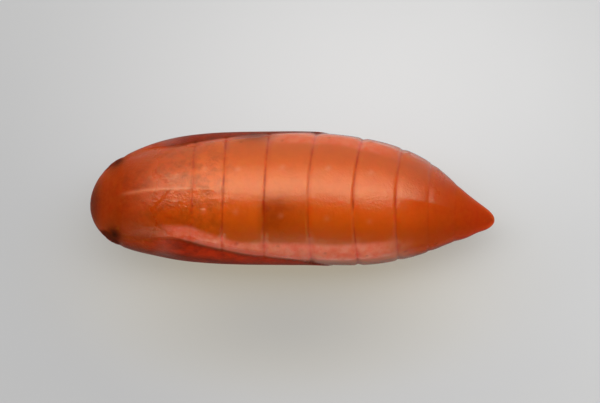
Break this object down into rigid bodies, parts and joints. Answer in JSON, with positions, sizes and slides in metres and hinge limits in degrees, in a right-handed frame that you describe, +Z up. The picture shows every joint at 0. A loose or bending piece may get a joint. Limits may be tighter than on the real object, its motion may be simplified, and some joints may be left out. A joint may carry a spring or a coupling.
{
  "type": "insect pupa",
  "caption": "Smooth amber-brown moth pupa lying on its belly: rounded head, folded wing cases and a ringed abdomen that tapers to a point.",
  "frame": {"origin": "on the flat of the belly that the pupa rests on, under the middle of its length", "axes": "+X along the body from head to tail, +Y to the pupa's right, +Z up through the back"},
  "size_m": [0.018, 0.006, 0.0053],
  "materials": {
    "cuticle": "waxy, slightly translucent amber-brown cuticle, darker at the head, wing cases and tail"
  },
  "bodies": {
    "root": {"pupa": "cuticle"}
  },
  "joints": []
}
